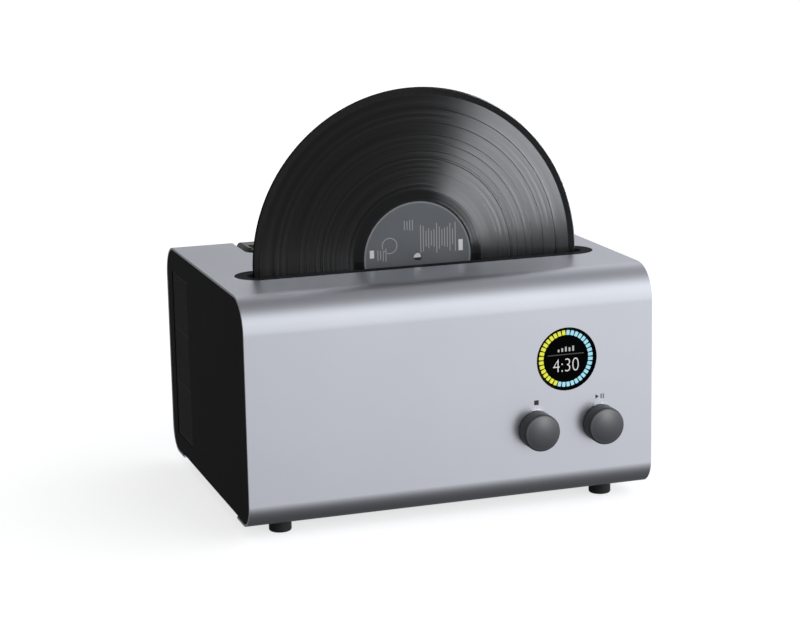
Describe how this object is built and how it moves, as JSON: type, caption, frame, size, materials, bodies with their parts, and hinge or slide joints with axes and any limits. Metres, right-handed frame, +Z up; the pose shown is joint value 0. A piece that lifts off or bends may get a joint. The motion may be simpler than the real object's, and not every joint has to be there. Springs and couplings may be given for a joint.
{
  "type": "record cleaning machine",
  "caption": "Ultrasonic record cleaning machine with a record standing in its top slot, round display, two knobs and a lift-out water tank.",
  "frame": {"origin": "middle of the footprint on the surface that the feet stand on, knobs and power switch included", "axes": "+X to the right of someone facing the knobs, +Y to the rear, +Z up"},
  "size_m": [0.367, 0.3096, 0.3646],
  "materials": {
    "satin_aluminium": "bead-blasted and clear anodised",
    "black_panel": "satin powder coat",
    "vent_plastic": "fine moulded grain",
    "base_steel": "fine texture powder coat",
    "foot_rubber": "smooth moulded rubber",
    "screw_steel": "zinc plated",
    "slot_plastic": "fine moulded grain",
    "guide_plastic": "machined low-friction plastic",
    "tub_steel": "fine brushed stainless steel",
    "saddle_plastic": "moulded grain",
    "horn_aluminium": "turned",
    "piezo_ceramic": "fired ceramic with silvered faces",
    "mass_steel": "turned",
    "vinyl": "pressed vinyl with fine grooves",
    "label_paper": "uncoated printed paper",
    "label_print": "light ink on paper",
    "roller_rubber": "moulded rubber",
    "gear_plastic": "moulded acetal",
    "brass": "turned",
    "bracket_steel": "zinc plated sheet",
    "motor_can": "satin black can",
    "display_black": "polished black",
    "display_glass": "smoked glass",
    "display_yellow": "lit segment",
    "display_cyan": "lit segment",
    "display_white": "lit figures",
    "display_body": "moulded housing",
    "circuit_board": "solder resist over fibreglass",
    "encoder_plastic": "moulded housing",
    "knob_plastic": "fine bead-blasted soft finish",
    "front_print": "screen-printed marks",
    "smoked_lid": "smoked acrylic",
    "tank_plastic": "smoked translucent moulding",
    "filter_media": "pleated fleece",
    "valve_plastic": "moulded",
    "bay_plastic": "fine moulded grain",
    "seal_rubber": "silicone rubber",
    "pump_plastic": "moulded grain",
    "hose_silicone": "translucent silicone",
    "fan_plastic": "moulded",
    "supply_steel": "zinc plated sheet",
    "inlet_plastic": "moulded",
    "rocker_plastic": "polished moulding"
  },
  "bodies": {
    "casing": {"shell": "satin_aluminium", "side_panel_left": "black_panel", "side_panel_right": "black_panel", "grille_left": "vent_plastic", "grille_right": "vent_plastic", "base_plate": "base_steel", "feet": "foot_rubber", "foot_screws": "screw_steel", "base_screws": "screw_steel", "slot_frame": "slot_plastic", "record_guides": "guide_plastic", "wash_bath": "tub_steel", "bath_saddles": "saddle_plastic", "transducer_horns": "horn_aluminium", "piezo_rings": "piezo_ceramic", "back_masses": "mass_steel", "shaft_bushes": "brass", "motor_bracket": "bracket_steel", "drive_motor": "motor_can", "display_bezel": "display_black", "display_glass": "display_glass", "display_module": "display_body", "control_board": "circuit_board", "encoder_left": "encoder_plastic", "encoder_right": "encoder_plastic", "bush_nuts": "screw_steel", "tank_bay": "bay_plastic", "dock_seal": "seal_rubber", "pump": "pump_plastic", "suction_hose": "hose_silicone", "return_hose": "hose_silicone", "fan_frames": "fan_plastic", "air_duct": "fan_plastic", "power_supply": "supply_steel", "generator_board": "circuit_board", "mains_inlet": "inlet_plastic", "switch_frame": "inlet_plastic"},
    "record": {"record_disc": "vinyl", "label_front": "label_paper", "label_rear": "label_paper"},
    "drive_roller_set": {"drive_roller": "roller_rubber", "drive_shaft": "screw_steel", "roller_gear": "gear_plastic"},
    "idler_roller_set": {"idler_roller": "roller_rubber", "idler_shaft": "screw_steel"},
    "pinion": {"motor_pinion": "brass"},
    "left_plunger": {"plunger_left": "valve_plastic"},
    "left_knob": {"knob_left": "knob_plastic", "shaft_left": "screw_steel"},
    "right_plunger": {"plunger_right": "valve_plastic"},
    "right_knob": {"knob_right": "knob_plastic", "shaft_right": "screw_steel"},
    "tank": {"water_tank": "tank_plastic", "filter_cartridge": "filter_media", "tank_valve": "valve_plastic"},
    "lid": {"tank_lid": "smoked_lid"},
    "fan_upper": {"fan_rotor_upper": "fan_plastic"},
    "fan_lower": {"fan_rotor_lower": "fan_plastic"},
    "rocker": {"power_rocker": "rocker_plastic"}
  },
  "joints": [
    {"name": "record_spin", "type": "hinge", "parent": "casing", "child": "record", "pos_m": [0.0025, -0.03675, 0.214], "axis": [0, 1, 0], "continuous": true},
    {"name": "drive_roller_spin", "type": "hinge", "parent": "casing", "child": "drive_roller_set", "pos_m": [0.10094, -0.03675, 0.088], "axis": [0, 1, 0], "continuous": true},
    {"name": "idler_roller_spin", "type": "hinge", "parent": "casing", "child": "idler_roller_set", "pos_m": [-0.09594, -0.03675, 0.088], "axis": [0, 1, 0], "continuous": true},
    {"name": "motor_pinion_spin", "type": "hinge", "parent": "casing", "child": "pinion", "pos_m": [0.12173, -0.03675, 0.1], "axis": [0, 1, 0], "continuous": true},
    {"name": "left_knob_push", "type": "slide", "parent": "casing", "child": "left_plunger", "axis": [0, 1, 0], "range_m": [0, 0.001], "stiffness_N_per_m": 1500, "springref_m": -0.001},
    {"name": "left_knob_turn", "type": "hinge", "parent": "left_plunger", "child": "left_knob", "pos_m": [0.0745, -0.13925, 0.074], "axis": [0, 1, 0], "continuous": true},
    {"name": "right_knob_push", "type": "slide", "parent": "casing", "child": "right_plunger", "axis": [0, 1, 0], "range_m": [0, 0.001], "stiffness_N_per_m": 1500, "springref_m": -0.001},
    {"name": "right_knob_turn", "type": "hinge", "parent": "right_plunger", "child": "right_knob", "pos_m": [0.1345, -0.13925, 0.074], "axis": [0, 1, 0], "continuous": true},
    {"name": "tank_lift", "type": "slide", "parent": "casing", "child": "tank", "axis": [0, 0, 1], "range_m": [0, 0.15]},
    {"name": "tank_lid_swing", "type": "hinge", "parent": "tank", "child": "lid", "pos_m": [0, 0.10465, 0.2054], "axis": [-1, 0, 0], "range_deg": [0, 100]},
    {"name": "upper_fan_spin", "type": "hinge", "parent": "casing", "child": "fan_upper", "pos_m": [-0.1788, 0.10025, 0.1395], "axis": [1, 0, 0], "continuous": true},
    {"name": "lower_fan_spin", "type": "hinge", "parent": "casing", "child": "fan_lower", "pos_m": [-0.1788, 0.10025, 0.0755], "axis": [1, 0, 0], "continuous": true},
    {"name": "power_rocker_tilt", "type": "hinge", "parent": "casing", "child": "rocker", "pos_m": [-0.052, 0.14725, 0.056], "axis": [-1, 0, 0], "range_deg": [0, 14]}
  ],
  "couplings": [
    {"joint": "drive_roller_spin", "follows": "record_spin", "ratio": -16.733},
    {"joint": "idler_roller_spin", "follows": "record_spin", "ratio": -16.733},
    {"joint": "motor_pinion_spin", "follows": "record_spin", "ratio": 33.467}
  ]
}
